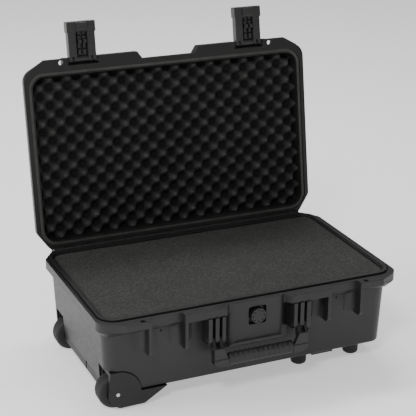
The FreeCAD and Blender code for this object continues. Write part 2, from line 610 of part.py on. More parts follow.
def make_latch(name, side):
    """A latch swung out flat: it reaches forward from its pin, with its claws on the rim's side."""
    tip, head_back = "(latch_pin_y - latch_length)", "(latch_pin_y - latch_length + latch_head)"
    inner, outer = "(latch_pin_z - latch_inside)", "(latch_pin_z + latch_outside)"
    pin_line = ("latch_pin_y", "latch_pin_z")
    hub = rod(f"{name}_hub", "x", "latch_hub", across(side, "latch_half"), pin_line)
    lugs = rod(f"{name}_lugs", "x", "latch_hub - 1", across(side, "latch_half + lug"), pin_line)
    skin = box(f"{name}_skin", across(side, "latch_half"), (f"{tip} + 3", "latch_pin_y - 1"),
               (f"{outer} - latch_skin", outer))
    rungs = int((DIMENSIONS["latch_length"] - DIMENSIONS["latch_head"] - 8)
                / (DIMENSIONS["rung"] + DIMENSIONS["rung_gap"])) + 1
    cheeks, rails, windows = [], [], []
    for half, flip in enumerate((-1, 1)):
        def span(near_text, far_text):
            ends = (latch_x(side, f"{flip} * ({near_text})"), latch_x(side, f"{flip} * ({far_text})"))
            return ends if flip > 0 else ends[::-1]
        ladder = span("ladder_in", "ladder_out")
        cheeks.append(box(f"{name}_cheek{half}", span("latch_half - cheek", "latch_half"),
                          (f"{tip} + 3", "latch_pin_y + 2.5"), (inner, outer)))
        for rung in range(rungs):
            start = f"(latch_pin_y - 8 - {rung} * (rung + rung_gap))"
            end = f"{head_back} - 1" if rung == rungs - 1 else f"{start} - rung"
            rails.append(box(f"{name}_rung{half}_{rung}", ladder, (end, start),
                             (f"{inner} + 2", f"{outer} - 1")))
        rails += [box(f"{name}_claw_post{half}", ladder,
                      ("latch_pin_y - hook_far", "latch_pin_y - hook_far + 3"),
                      ("latch_pin_z - hook_reach", f"{inner} + 4")),
                  box(f"{name}_claw_lip{half}", ladder, ("latch_pin_y - hook_far", "latch_pin_y - hook_near"),
                      ("latch_pin_z - hook_reach", "latch_pin_z - hook_reach + 4"))]
        windows.append(box(f"{name}_window{half}", span("window_in", "window_out"),
                           ("latch_pin_y - 4.5", "latch_pin_y + 1.5"), (f"{inner} - 1", "latch_pin_z - 0.5")))
    head = prism(f"{name}_head", "YZ", [(tip, f"{inner} - 1"), (head_back, f"{inner} - 1"),
                                        (head_back, f"{outer} + 1"), (tip, f"{outer} + 1")],
                 across(side, "latch_half + head_grow"), [("2", (0, 3))])[0]
    slot = box(f"{name}_slot", across(side, "button_half + 0.3"), (f"{tip} + 1.5", f"{head_back} - 1.5"),
               (f"{inner} - 5", f"{outer} + 5"))
    bore = rod(f"{name}_bore", "x", "latch_pin + 0.06", across(side, "bay_half"), pin_line)
    arm = fuse(f"{name}_arm", hub, skin, *cheeks, head)
    solid = fuse(f"{name}_solid", arm, fuse(f"{name}_rails", *rails), lugs)
    return cut(f"{name}_shape", solid, slot, bore, *windows)


def make_button(name, side):
    """The press button in a latch's head: it stands proud on both faces."""
    tip = "latch_pin_y - latch_length"
    outline = [(f"{tip} + 1.8", "latch_pin_z - latch_inside - 1 - button_proud"),
               (f"{tip} + latch_head - 1.8", "latch_pin_z - latch_inside - 1 - button_proud"),
               (f"{tip} + latch_head - 1.8", "latch_pin_z + latch_outside + button_travel"),
               (f"{tip} + 1.8", "latch_pin_z + latch_outside + button_travel")]
    return prism(f"{name}_shape", "YZ", outline, across(side, "button_half"), [("1.5", (0, 1, 2, 3))])[0]


def make_latch_spring(name, side):
    """A flat steel spring in the channel between the latch's two ladders."""
    return box(name, across(side, "ladder_in - 0.4"),
               ("latch_pin_y - latch_length + latch_head + 0.3", "latch_pin_y - hook_far - 0.5"),
               ("latch_pin_z - 2", "latch_pin_z - 1.4"))


# ---------------------------------------------------------------- handle and valve

def grip_core(name, extra):
    """The neck of the handle's bar that the grip is moulded round."""
    return box(name, (f"-grip_half - {extra}", f"grip_half + {extra}"),
               ("-handle_front + grip_skin", "-handle_back - grip_skin"),
               ("handle_bottom + grip_skin", "handle_top - grip_dip - grip_skin"))


def make_handle_frame():
    bar_top = "(handle_top - grip_dip)"
    bar = prism("handle_bar", "XZ", [("-handle_half", "handle_bottom"), ("handle_half", "handle_bottom"),
                                     ("handle_half", bar_top), ("-handle_half", bar_top)],
                ("-handle_front", "-handle_back"), [("handle_corner", (0, 1))])[0]
    sleeve_room = box("handle_sleeve_room", ("-grip_half", "grip_half"),
                      ("-handle_front - 5", "-handle_back + 5"), ("handle_bottom - 5", "handle_top + 5"))
    waist = cut("handle_waist", bar, cut("handle_neck_room", sleeve_room, grip_core("handle_neck", "1")))
    inside, outside = "(bracket_middle - slot_out + 0.4)", "(bracket_middle + slot_out - 0.4)"
    outline = [("handle_pin_y + 5", "handle_pin_z"), ("handle_pin_y - 5.5", "handle_pin_z"),
               ("-handle_front + 1", "fork_floor - 3"), ("-handle_front + 1", "handle_bottom + 6"),
               ("-handle_back", "handle_bottom + 6"), ("-handle_back", "handle_top"),
               ("handle_pin_y + 1", "fork_floor - 1")]
    prong = prism("handle_prong", "YZ", outline, (inside, outside))[0]
    eye = rod("handle_eye", "x", "5.3", (inside, outside), ("handle_pin_y", "handle_pin_z"))
    gusset = prism("handle_gusset", "XZ",
                   [("grip_half + 0.4", f"{bar_top} - 1"), (f"{inside} + 4", f"{bar_top} - 1"),
                    (f"{inside} + 4", "gusset_top"), (inside, "gusset_top"),
                    ("grip_half + 4", "handle_top - 1.5")],
                   ("-handle_front + 1", "-handle_front + 8"))[0]
    stop = rod("handle_stop", "x", "stop_radius", (f"{outside} - 1", f"{outside} + stop_reach"),
               ("stop_y", "stop_z"))
    arm = cut("handle_arm", fuse("handle_arm_solid", prong, eye, gusset, stop),
              box("handle_notch", ("bracket_middle - slot_in - 0.4", "bracket_middle + slot_in + 0.4"),
                  ("-case_length", "case_length"), ("fork_floor - 1.5", "case_length")),
              rod("handle_bore", "x", "handle_pin + 0.06", ("0", "bracket_out + 9"),
                  ("handle_pin_y", "handle_pin_z")))
    return fuse("handle_frame_shape", waist, both_sides("handle_arms", arm))


def make_handle_grip():
    outline = [("-handle_front - grip_proud", "handle_bottom - grip_proud"),
               ("-handle_back + grip_proud", "handle_bottom - grip_proud"),
               ("-handle_back + grip_proud", "handle_top + grip_proud"),
               ("-handle_front - grip_proud", "handle_top + grip_proud")]
    sleeve = prism("grip_sleeve", "YZ", outline, ("-grip_half", "grip_half"), [("7.8", (0, 1, 2, 3))])[0]
    return cut("handle_grip_shape", sleeve, grip_core("grip_core", "1"))


def make_valve():
    """Seal, body, membrane and cap, one behind the other in the panel's pocket."""
    middle = ("0", "valve_z")
    seal_front = "-pocket_floor - seal_height"
    body_front = f"{seal_front} - 4.5"
    seal = cut("valve_seal_shape",
               rod("valve_seal_disc", "y", "body_radius - 0.5", (seal_front, "-pocket_floor"), middle),
               rod("valve_seal_hole", "y", "stem_radius + 1", ("-front_face", "0"), middle))
    flange = rod("valve_flange", "y", "body_radius", (body_front, seal_front), middle)
    stem = rod("valve_stem", "y", "stem_radius", (seal_front, "-cavity_width / 2"), middle)
    vent = rod("valve_vent", "y", "stem_radius - 2.5", ("-front_face", "0"), middle)
    body = cut("valve_body_shape", fuse("valve_body_solid", flange, stem), vent)
    membrane = rod("valve_disc", "y", "body_radius - 2", (f"{body_front} - 0.6", body_front), middle)
    shell = cut("valve_cap_solid",
                rod("valve_cap_disc", "y", "cap_radius", ("-valve_face", f"{body_front} + 1"), middle),
                rod("valve_cap_room", "y", "cap_radius - 1.9", ("-valve_face + cap_wall", "0"), middle))
    step = 360 / DIMENSIONS["cap_holes"]
    holes = [rod(f"cap_hole{turn}", "y", "hole_radius", ("-front_face - 9", "-pocket_floor"),
                 (f"hole_circle * cos({turn * step} deg)", f"valve_z + hole_circle * sin({turn * step} deg)"))
             for turn in range(DIMENSIONS["cap_holes"])]
    return {"valve_seal": seal, "valve_body": body, "valve_membrane": membrane,
            "valve_cap": cut("valve_cap_shape", shell, *holes)}


# ---------------------------------------------------------------- wheels and housings

def make_wheel(name, middle_y):
    """Tyre, hub and the pair of bushes of one wheel, and the axle that it turns on."""
    middle = ("wheel_x", middle_y, "wheel_radius")
    tyre = revolved(f"{name}_tyre_shape", [
        ("-wheel_half", "hub_radius"), ("wheel_half", "hub_radius"), ("wheel_half", "wheel_radius - 5"),
        ("wheel_half - 2.5", "wheel_radius - 2.4"), ("wheel_half - 6", "wheel_radius - 0.7"),
        ("wheel_half - 10", "wheel_radius"), ("10 - wheel_half", "wheel_radius"),
        ("6 - wheel_half", "wheel_radius - 0.7"), ("2.5 - wheel_half", "wheel_radius - 2.4"),
        ("-wheel_half", "wheel_radius - 5")], middle)
    hub = revolved(f"{name}_hub_shape", [
        ("-wheel_half", "bush_radius"), ("wheel_half", "bush_radius"), ("wheel_half", "bush_radius + 3"),
        ("wheel_half - 3", "bush_radius + 3"), ("wheel_half - 3", "hub_radius - 3"),
        ("wheel_half - 0.5", "hub_radius - 3"), ("wheel_half - 0.5", "hub_radius"),
        ("0.5 - wheel_half", "hub_radius"), ("0.5 - wheel_half", "hub_radius - 3"),
        ("3 - wheel_half", "hub_radius - 3"), ("3 - wheel_half", "bush_radius + 3"),
        ("-wheel_half", "bush_radius + 3")], middle)
    bushes = [revolved(f"{name}_bush{number}", [
        (low, "axle_radius + 0.05"), (high, "axle_radius + 0.05"),
        (high, "bush_radius"), (low, "bush_radius")], middle)
        for number, (low, high) in enumerate((("-wheel_half", "-2"), ("2", "wheel_half")))]
    return tyre, hub, bushes


def make_housing(name, middle_y, outward, outer_plate, strip):
    """A cheek plate each side of a wheel under one arch, and a skid strip along the base's left edge."""
    half = "(wheel_half + wheel_side_gap)"
    ends = [f"{middle_y} + {outward} * ({half} + {outer_plate})",
            f"{middle_y} - ({outward}) * ({half} + inner_plate)"]
    plates = tuple(ends if outward < 0 else reversed(ends))
    arch_top, arch_right = "wheel_radius + arch_radius", "wheel_x + arch_radius"
    tail_top = "floor_gap - seam"
    outline = [("housing_left + 5", arch_top), (arch_right, arch_top), (arch_right, tail_top),
               ("housing_tail", tail_top), (f"{arch_right} + 6", "5"), ("wheel_x + 3", "4"),
               ("wheel_x - 6", "9"), ("housing_left + 6", "15"), ("housing_left + 2", "22"),
               ("housing_left + 2", "34")]
    cheeks = common(f"{name}_cheeks", prism(f"{name}_outline", "XZ", outline, plates)[0],
                    wheel_arch(f"{name}_arch", "0", plates))
    tail_left = "wheel_x + pocket_radius + 2"
    tail = prism(f"{name}_tail", "XZ", [*outline[2:5], (tail_left, "4.5"), (tail_left, tail_top)], plates)[0]
    room = wheel_arch(f"{name}_room", "0", (f"{middle_y} - {half}", f"{middle_y} + {half}"), "pocket_radius")
    low, high = strip
    skid = common(f"{name}_skid",
                  prism(f"{name}_skid_section", "XZ",
                        [("skid_left", "skid_bottom + 16"), ("skid_left + skid_slope", "skid_bottom"),
                         ("skid_inner", "skid_bottom"), ("skid_inner", "skid_top"),
                         ("skid_left", "skid_top")], strip)[0],
                  prism(f"{name}_skid_side", "YZ",
                        [(low, "skid_bottom"), (high, "skid_bottom"), (high, "skid_top"),
                         (low, "skid_top")], ("skid_left", "skid_inner"),
                        [("skid_end", (1 if outward < 0 else 0,))])[0])
    bore = rod(f"{name}_axle_bore", "y", "axle_radius + 0.02", ("-case_length", "case_length"),
               ("wheel_x", "wheel_radius"))
    solid = fuse(f"{name}_solid", cut(f"{name}_fork", fuse(f"{name}_walls", cheeks, tail), room), skid)
    axle = rod(f"{name}_axle", "y", "axle_radius", (f"{plates[0]} - 0.4", f"{plates[1]} + 0.4"),
               ("wheel_x", "wheel_radius"))
    return solid, bore, axle


SKID_SCREWS = {"front": ("-85", "-50"), "back": ("-15", "60")}
SKID_SCREW_X = "(skid_left + skid_inner) / 2"


def screw(name, middle, head_z, tip_z):
    """A countersunk screw standing head down, with its head at the bottom of its hole."""
    return fuse(name, rod(f"{name}_shank", "z", "screw_radius", (head_z, tip_z), middle),
                rod(f"{name}_head", "z", "screw_head", (f"{head_z} - 2.4", head_z), middle))


def screw_room(name, middle, head_z, tip_z, bottom):
    """The hole for such a screw, and the way in to its head."""
    return [rod(f"{name}_bore", "z", "screw_radius + 0.02", (f"{head_z} - 1", f"{tip_z} + 0.1"), middle),
            rod(f"{name}_way", "z", "screw_head + 0.3", (bottom, head_z), middle)]


SKID_HEAD, SKID_TIP = "skid_top - 8", "skid_top + skid_seam + 3"
FOOT_HEAD, FOOT_TIP = "floor_gap - 22", "floor_gap + screw_bite"
PLATE_HEAD, PLATE_TIP = "tube_z + 4", "floor_gap + screw_bite"
FEET = [(x_place, y_place) for x_place in ("foot_x", "foot_far_x") for y_place in ("-foot_y", "foot_y")]
END_PLACES = [("tube_start - bracket_length / 2", side) for side in ("-25", "25")]
GUIDE_PLACES = [("tube_end + guide_length / 2", side) for side in ("-25", "25")]


def screw_bores():
    """The blind holes in the base shell's underside that every screw bites into."""
    places = [(SKID_SCREW_X, y_place) for side in SKID_SCREWS.values() for y_place in side]
    skid = [rod(f"skid_screw_bore{number}", "z", "screw_radius + 0.02",
                ("skid_top - 1", f"{SKID_TIP} + 0.1"), middle)
            for number, middle in enumerate(places)]
    under = [rod(f"under_screw_bore{number}", "z", "screw_radius + 0.02",
                 ("floor_gap - 20", f"{FOOT_TIP} + 0.1"), middle)
             for number, middle in enumerate(FEET + END_PLACES + GUIDE_PLACES)]
    return skid + under


def make_foot(name, middle):
    upright = Rotation(Vector(1, 0, 0), 90)
    profile = [("0", "screw_head + 0.3"), ("0", "foot_radius - 7"), ("0.8", "foot_radius - 4"),
               ("foot_crown", "foot_radius - 1"), ("foot_crown + 3", "foot_radius"),
               ("floor_gap", "foot_radius"),
               ("floor_gap", "screw_radius + 0.02"), (FOOT_HEAD, "screw_radius + 0.02"),
               (FOOT_HEAD, "screw_head + 0.3")]
    return revolved(name, profile, (*middle, "0"), upright)


# ---------------------------------------------------------------- telescopic pull handle

def tube_pair(name, shrink, wall, low, high):
    """Two rectangular tubes under the base, smaller than the outermost pair by shrink all round."""
    pair = []
    for side in ("-1", "1"):
        tag = f"{name}{'_back' if side == '1' else '_front'}"
        layers = []
        for layer, inset in (("outside", shrink), ("inside", f"{shrink} + {wall}")):
            reach = "0" if layer == "outside" else "1"
            layers.append(box(f"{tag}_{layer}", (f"{low} - {reach}", f"{high} + {reach}"),
                              (f"{side} * tube_y - (tube_wide / 2 - ({inset}))",
                               f"{side} * tube_y + (tube_wide / 2 - ({inset}))"),
                              (f"tube_z - (tube_high / 2 - ({inset}))",
                               f"tube_z + (tube_high / 2 - ({inset}))")))
        pair.append(cut(tag, *layers))
    return pair


def tube_rooms(name, inset, low, high):
    """Solid bars the size of a tube pair, to cut room for it."""
    return [box(f"{name}{number}", (low, high),
                (f"{side} * tube_y - (tube_wide / 2 - ({inset}))",
                 f"{side} * tube_y + (tube_wide / 2 - ({inset}))"),
                (f"tube_z - (tube_high / 2 - ({inset}))", f"tube_z + (tube_high / 2 - ({inset}))"))
            for number, side in enumerate(("-1", "1"))]


def cross_plate(name, span, places):
    """A bar across both tubes, screwed up to the base's underside."""
    plate = box(f"{name}_block", span, ("-bracket_half", "bracket_half"),
                ("tube_z - tube_high / 2 - 1.5", "floor_gap"))
    rooms = []
    for number, middle in enumerate(places):
        rooms += screw_room(f"{name}_screw{number}", middle, PLATE_HEAD, PLATE_TIP, "0")
    return plate, rooms


def make_pull_handle():
    stage = "tube_wall + tube_play"
    inner_stage = f"2 * ({stage})"
    middle_start, inner_start = "tube_start + tube_step", "tube_start + 2 * tube_step"
    middle_end = "tube_end + guide_length + 2"
    outer = tube_pair("outer_tube", "0", "tube_wall", "tube_start", "tube_end")
    middle = tube_pair("middle_tube", stage, "tube_wall", middle_start, middle_end)
    inner = tube_pair("inner_tube", inner_stage, "tube_wall", inner_start, "pull_bar - 4")
    end_plate, end_rooms = cross_plate("end_bracket", ("tube_start - bracket_length", "tube_start"),
                                       END_PLACES)
    guide, guide_rooms = cross_plate("guide", ("tube_end", "tube_end + guide_length"), GUIDE_PLACES)
    bar = prism("pull_bar", "XY",
                [("pull_bar", "-pull_half"), ("pull_end", "-pull_half"),
                 ("pull_end", "pull_half"), ("pull_bar", "pull_half")],
                ("pull_low", "pull_high"), [("7", (1, 2))])[0]
    sockets = [box(f"pull_socket{number}", ("pull_socket", "pull_bar + 1"),
                   (f"{side} * tube_y - tube_wide / 2 - 1", f"{side} * tube_y + tube_wide / 2 + 1"),
                   ("pull_low + 1", "pull_high")) for number, side in enumerate(("-1", "1"))]
    button_slot = box("pull_button_slot", ("pull_end - 8", "pull_end + 9"),
                      ("-pull_button_half - 0.3", "pull_button_half + 0.3"), ("tube_z - 5.3", "tube_z + 5.3"))
    button = prism("pull_button_shape", "XY",
                   [("pull_end - 4.5", "-pull_button_half"), ("pull_end + 2.5", "-pull_button_half"),
                    ("pull_end + 2.5", "pull_button_half"), ("pull_end - 4.5", "pull_button_half")],
                   ("tube_z - 5", "tube_z + 5"), [("2", (1, 2))])[0]
    return {"outer": outer, "middle": middle, "inner": inner,
            "end_bracket": cut("end_bracket_shape", end_plate, *end_rooms),
            "guide": cut("guide_shape", guide, *guide_rooms,
                         *tube_rooms("guide_room", "tube_wall", "tube_end - 1", "tube_end + guide_length + 1")),
            "grip": cut("pull_grip_shape", fuse("pull_grip_solid", bar, *sockets), button_slot,
                        *tube_rooms("socket_room", inner_stage, "pull_socket - 1", "pull_bar - 4")),
            "button": button}


# ---------------------------------------------------------------- sub-parts, body by body

def foam_layer(name, low, high, blocks):
    body = tray(f"{name}_layer", [cavity_size(low, "foam_gap"), cavity_size(high, "foam_gap")])[0]
    return cut(f"{name}_shape", body, *well_blocks(f"{name}_step", "foam_gap")) if blocks else body


sub_part("base_shell", "base", make_base_shell())
sub_part("foam_pluck_upper", "base", foam_layer("foam_upper", "foam_middle + seam", "foam_top", False))
sub_part("foam_pluck_lower", "base", foam_layer("foam_lower", "foam_low + seam", "foam_middle", True))
sub_part("foam_floor_pad", "base", foam_layer("foam_pad", "cavity_floor + seam", "foam_low", True))
for label, shape in make_valve().items():
    sub_part(label, "base", shape)
sub_part("hinge_pins", "base", *[
    rod(f"hinge_pin{number}", "x", "hinge_pin", span, ("hinge_y", "hinge_z"))
    for number, span in enumerate((("-hinge_half", "-66"), ("-64", "64"), ("66", "hinge_half")))])
pin = rod("handle_pin_right", "x", "handle_pin", ("bracket_in", "bracket_out"), ("handle_pin_y", "handle_pin_z"))
sub_part("handle_pins", "base", pin, mirrored("handle_pin_left", pin))

WHEELS = {"front": ("front_wheel_y", -1, "outer_plate", (f"{FRONT_WELL[1]} - arch_gap - 1", "skid_gap_front")),
          "back": ("back_wheel_y", 1, "far_plate", ("skid_gap_back", f"{BACK_WELL[0]} + arch_gap + 1"))}
for end, (middle_y, outward, plate, strip) in WHEELS.items():
    tyre, hub, bushes = make_wheel(f"{end}_wheel", middle_y)
    housing, bore, axle = make_housing(f"{end}_housing", middle_y, outward, plate, strip)
    rooms = []
    for number, y_place in enumerate(SKID_SCREWS[end]):
        rooms += screw_room(f"{end}_skid_screw{number}", (SKID_SCREW_X, y_place), SKID_HEAD, SKID_TIP, "0")
    sub_part(f"wheel_housing_{end}", "base", cut(f"{end}_housing_shape", housing, bore, *rooms))
    sub_part(f"axle_{end}", "base", axle)
    sub_part(f"wheel_tyre_{end}", "base", tyre)
    sub_part(f"wheel_hub_{end}", "base", hub)
    sub_part(f"wheel_bushes_{end}", "base", *bushes)

sub_part("housing_screws", "base", *[
    screw(f"{end}_skid_screw_solid{number}", (SKID_SCREW_X, y_place), SKID_HEAD, SKID_TIP)
    for end, places in SKID_SCREWS.items() for number, y_place in enumerate(places)])
sub_part("rubber_feet", "base", *[make_foot(f"foot{number}", place) for number, place in enumerate(FEET)])
sub_part("foot_screws", "base", *[screw(f"foot_screw{number}", place, FOOT_HEAD, FOOT_TIP)
                                  for number, place in enumerate(FEET)])

pull = make_pull_handle()
sub_part("pull_outer_tubes", "base", *pull["outer"])
sub_part("pull_end_bracket", "base", pull["end_bracket"])
sub_part("pull_guide", "base", pull["guide"])
sub_part("pull_screws", "base", *[screw(f"pull_screw{number}", place, PLATE_HEAD, PLATE_TIP)
                                  for number, place in enumerate(END_PLACES + GUIDE_PLACES)])
sub_part("pull_middle_tubes", "base", *pull["middle"])
sub_part("pull_inner_tubes", "base", *pull["inner"])
sub_part("pull_grip", "base", pull["grip"])
sub_part("pull_button", "base", pull["button"])

sub_part("handle_frame", "base", make_handle_frame())
sub_part("handle_grip", "base", make_handle_grip())

sub_part("lid_shell", "lid", make_lid_shell())
sub_part("lid_gasket", "lid", ring("lid_gasket_ring", "seat_in + 0.2", "seat_out - 0.2",
                                   "rim_top + seam + seat_depth - gasket_size", "rim_top + seam + seat_depth"))
sub_part("lid_foam", "lid", tray("lid_foam_block", [lid_cavity_size("lid_foam_face", "foam_gap"),
                                                    lid_cavity_size("lid_ceiling - seam", "foam_gap")])[0])
pin = rod("latch_pin_right", "x", "latch_pin", ("bay_middle - bay_half - 7.5", "bay_middle + bay_half + 7.5"),
          ("latch_pin_y", "latch_pin_z"))
sub_part("latch_pins", "lid", pin, mirrored("latch_pin_left", pin))
for side, sign in LATCH_SIDES.items():
    sub_part(f"latch_{side}", "lid", make_latch(f"{side}_latch", sign))
    sub_part(f"latch_button_{side}", "lid", make_button(f"{side}_button", sign))
    sub_part(f"latch_spring_{side}", "lid", make_latch_spring(f"{side}_latch_spring", sign))

# ---------------------------------------------------------------- frames, checks and files

doc.recompute()
hinge = Vector(0, DIMENSIONS["hinge_y"], DIMENSIONS["hinge_z"])
opened = Placement(Vector(), Rotation(Vector(1, 0, 0), -DIMENSIONS["lid_open_angle"]), hinge)
for part, frame in sub_parts.values():
    part.Placement = opened if frame == "lid" else Placement()
doc.recompute()

whole = FreeCAD.BoundBox()
for part, frame in sub_parts.values():
    whole.add(part.Shape.optimalBoundingBox(False))
to_origin = Placement(Vector(-whole.Center.x, -whole.Center.y, -whole.ZMin), Rotation())
for part, frame in sub_parts.values():
    part.Placement = to_origin.multiply(part.Placement)
doc.recompute()
print("open case", whole, "moved by", to_origin.Base)

faults = [item.Label for item in doc.Objects if {"Invalid", "Error"} & set(item.State)]
faults += [label for label, (part, frame) in sub_parts.items() if part.Shape.isNull() or not part.Shape.isValid()]
if faults:
    raise RuntimeError(f"these did not build: {faults}")

os.makedirs("parts", exist_ok=True)
for label, (part, frame) in sub_parts.items():
    part.Shape.exportStep(f"parts/{label}.step")
    print(f"{label:22s} solids {len(part.Shape.Solids):2d}  volume {part.Shape.Volume / 1000:9.2f} cm3")
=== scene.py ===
import json
import math

import bpy
from mathutils import Matrix, Vector, noise


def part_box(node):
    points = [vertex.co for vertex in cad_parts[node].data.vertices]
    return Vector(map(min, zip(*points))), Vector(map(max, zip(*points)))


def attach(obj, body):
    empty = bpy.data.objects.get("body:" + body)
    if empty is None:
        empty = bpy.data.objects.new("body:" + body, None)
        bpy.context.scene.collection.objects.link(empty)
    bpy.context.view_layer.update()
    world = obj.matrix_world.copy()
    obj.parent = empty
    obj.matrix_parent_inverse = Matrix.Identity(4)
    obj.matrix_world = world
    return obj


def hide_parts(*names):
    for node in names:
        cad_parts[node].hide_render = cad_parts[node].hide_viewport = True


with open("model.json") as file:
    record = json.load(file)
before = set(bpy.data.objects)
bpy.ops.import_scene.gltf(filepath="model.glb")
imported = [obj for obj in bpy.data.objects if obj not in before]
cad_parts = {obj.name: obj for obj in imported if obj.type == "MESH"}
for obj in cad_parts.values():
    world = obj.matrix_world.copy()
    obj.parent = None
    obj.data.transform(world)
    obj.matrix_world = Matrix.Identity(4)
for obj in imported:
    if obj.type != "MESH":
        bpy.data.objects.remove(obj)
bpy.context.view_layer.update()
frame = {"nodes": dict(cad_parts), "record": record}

MM = 0.001


# ---------------------------------------------------------------- where things are

# The hinge, from the middle of the base's cavity at rim height, and how far the lid stands open at rest.
LID_ANGLE = math.radians(99)
HINGE_BEHIND_MIDDLE = 166.5 * MM
HINGE_ABOVE_RIM = -3.2 * MM
pins_low, pins_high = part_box("hinge_pins")
HINGE = Vector((0, (pins_low.y + pins_high.y) / 2, (pins_low.z + pins_high.z) / 2))
RIM_TOP = HINGE.z - HINGE_ABOVE_RIM
MIDDLE_Y = HINGE.y - HINGE_BEHIND_MIDDLE


def opened(point):
    """A place in the closed lid, given about the cavity's middle at rim height, with the lid open."""
    x, y, z = point
    arm = Vector((0, y - HINGE_BEHIND_MIDDLE, z - HINGE_ABOVE_RIM))
    turned = Matrix.Rotation(-LID_ANGLE, 3, "X") @ arm
    return HINGE + Vector((x, 0, 0)) + turned


LID_RIM = opened((0, 0, 0))
INTO_LID = opened((0, 0, 1)) - LID_RIM


# ---------------------------------------------------------------- materials

class Nodes:
    """Builds one node material."""

    def __init__(self, name, **sockets):
        self.material = bpy.data.materials.new(name)
        self.material.use_nodes = True
        self.tree = self.material.node_tree
        self.shader = self.tree.nodes["Principled BSDF"]
        for socket, value in sockets.items():
            self.shader.inputs[socket.replace("_", " ")].default_value = value

    def add(self, kind, links=None, values=None, **settings):
        node = self.tree.nodes.new(f"ShaderNode{kind}")
        for name, value in settings.items():
            setattr(node, name, value)
        for socket, value in (values or {}).items():
            node.inputs[socket].default_value = value
        for socket, source in (links or {}).items():
            self.tree.links.new(source, node.inputs[socket])
        return node

    def place(self, scale=(1, 1, 1)):
        """Where a point of the surface is, in metres."""
        coordinates = self.add("TexCoord")
        if scale == (1, 1, 1):
            return coordinates.outputs["Object"]
        mapping = self.add("Mapping", {"Vector": coordinates.outputs["Object"]}, {"Scale": scale})
        return mapping.outputs["Vector"]

    def noise(self, scale, detail=2.0, roughness=0.5, where=None):
        node = self.add("TexNoise", {"Vector": where or self.place()},
                        {"Scale": scale, "Detail": detail, "Roughness": roughness})
        return node.outputs["Fac"]

    def cells(self, scale):
        node = self.add("TexVoronoi", {"Vector": self.place()}, {"Scale": scale}, feature="F1")
        return node.outputs["Distance"]

    def ramp(self, source, low, high, first, last):
        """Maps a stretch of source to a stretch of numbers."""
        node = self.add("MapRange", {"Value": source},
                        {"From Min": low, "From Max": high, "To Min": first, "To Max": last})
        return node.outputs["Result"]

    def math(self, operation, first, second):
        node = self.add("Math", operation=operation)
        for socket, value in enumerate((first, second)):
            if isinstance(value, (int, float)):
                node.inputs[socket].default_value = value
            else:
                self.tree.links.new(value, node.inputs[socket])
        return node.outputs["Value"]

    def colour_between(self, factor, dark, light):
        node = self.add("Mix", data_type="RGBA")
        node.inputs["A"].default_value = (*dark, 1)
        node.inputs["B"].default_value = (*light, 1)
        self.tree.links.new(factor, node.inputs["Factor"])
        self.tree.links.new(node.outputs["Result"], self.shader.inputs["Base Color"])

    def link(self, source, socket):
        self.tree.links.new(source, self.shader.inputs[socket])

    def bump(self, *layers, edge=0.0):
        """Stacks bumps, each a (height, depth in metres), over edges softened to a radius."""
        normal = None
        if edge:
            normal = self.add("Bevel", values={"Radius": edge}, samples=6).outputs["Normal"]
        for height, depth in layers:
            links = {"Height": height}
            if normal:
                links["Normal"] = normal
            node = self.add("Bump", links, {"Strength": 1.0, "Distance": depth})
            normal = node.outputs["Normal"]
        self.link(normal, "Normal")
        return self.material


def moulded_plastic(name, dark, light, roughness=0.46, edge=1.3 * MM):
    """Polypropylene out of a spark-textured mould: fine grain, faint flow marks and a few scuffs."""
    nodes = Nodes(name, Specular_IOR_Level=0.4)
    patches = nodes.noise(9, 4, 0.6)
    grain = nodes.noise(1500, 2, 0.6)
    nodes.colour_between(nodes.ramp(patches, 0.3, 0.7, 0, 1), dark, light)
    scuffs = nodes.noise(60, 6, 0.75, nodes.place((1, 1, 4)))
    rough = nodes.math("ADD", nodes.ramp(scuffs, 0.35, 0.7, roughness - 0.05, roughness + 0.08),
                       nodes.ramp(grain, 0.3, 0.7, -0.03, 0.03))
    nodes.link(rough, "Roughness")
    waves = nodes.noise(14, 1, 0.4)
    return nodes.bump((waves, 0.5 * MM), (grain, 0.09 * MM), edge=edge)


# How dark the painted shade at the bottom of the lid foam's pits gets, as a share of the foam's own colour.
PAINTED_PIT_SHADE = 0.16


def foam(name, dark, light, cell=900, blotch=(0.75, 1.1), painted_shade_depths=None):
    """Open-cell foam: small pores of uneven size.

    cell is the pores per metre, and blotch the range of the soft patches. painted_shade_depths gives two
    depths below the lid's rim, in metres, for painted shade in the foam's pits: the colour starts to darken
    at the first and is darkest from the second.
    """
    nodes = Nodes(name, Roughness=0.95, Specular_IOR_Level=0.1)
    pores = nodes.cells(cell)
    coarse = nodes.cells(cell * 0.42)
    blotches = nodes.noise(26, 5, 0.65)
    speckle = nodes.math("MULTIPLY", nodes.ramp(pores, 0.0, 0.8, 0.25, 1),
                         nodes.ramp(coarse, 0, 0.7, 0.55, 1))
    shade = nodes.math("MULTIPLY", speckle, nodes.ramp(blotches, 0.3, 0.7, *blotch))
    # Painted shade: the lid foam's colour darkens with depth below the lid's rim, standing in for the shade
    # that falls in its pits.
    if painted_shade_depths:
        depth = nodes.add("VectorMath", {0: nodes.place()}, {1: INTO_LID},
                          operation="DOT_PRODUCT").outputs["Value"]
        rim = LID_RIM.dot(INTO_LID)
        shade = nodes.math("MULTIPLY", shade,
                           nodes.ramp(depth, rim + painted_shade_depths[0], rim + painted_shade_depths[1], 1, PAINTED_PIT_SHADE))
    nodes.colour_between(shade, dark, light)
    return nodes.bump((blotches, 0.4 * MM), (coarse, 0.5 * MM), (pores, 0.35 * MM))


def rubber(name, dark, light, roughness=0.62, edge=0.6 * MM):
    """Moulded rubber: matt, with a dusty bloom in patches."""
    nodes = Nodes(name, Specular_IOR_Level=0.35)
    bloom = nodes.noise(45, 5, 0.6)
    nodes.colour_between(nodes.ramp(bloom, 0.35, 0.7, 0, 1), dark, light)
    nodes.link(nodes.ramp(bloom, 0.3, 0.7, roughness, roughness + 0.15), "Roughness")
    return nodes.bump((nodes.noise(2200, 2, 0.5), 0.05 * MM), edge=edge)


